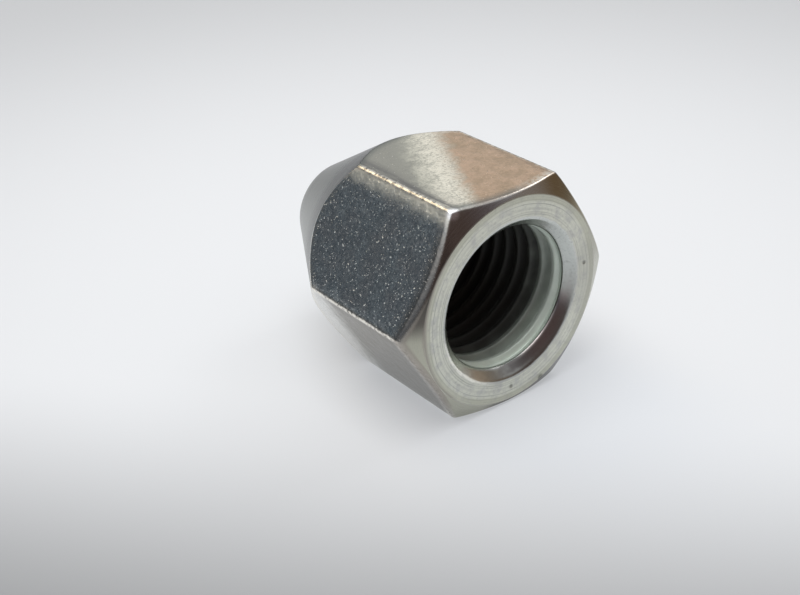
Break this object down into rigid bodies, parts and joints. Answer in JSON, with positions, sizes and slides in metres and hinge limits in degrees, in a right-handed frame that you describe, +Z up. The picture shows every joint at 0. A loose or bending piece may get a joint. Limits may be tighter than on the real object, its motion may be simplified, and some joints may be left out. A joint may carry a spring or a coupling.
{
  "type": "flare nut",
  "caption": "Hexagon union nut with a fine-threaded mouth and a conical nose, which draws a flared or coned pipe end onto its seat.",
  "frame": {"origin": "on the nut's axis, in the plane of the face round the threaded mouth", "axes": "+Y along the nut's axis from the mouth to the nose; +Z up, square to the flat that the nut lies on"},
  "size_m": [0.0218, 0.024, 0.019],
  "materials": {
    "zinc_plated_steel": "clear zinc plating over turned and drawn steel"
  },
  "bodies": {
    "root": {"flare_nut": "zinc_plated_steel"}
  },
  "joints": []
}
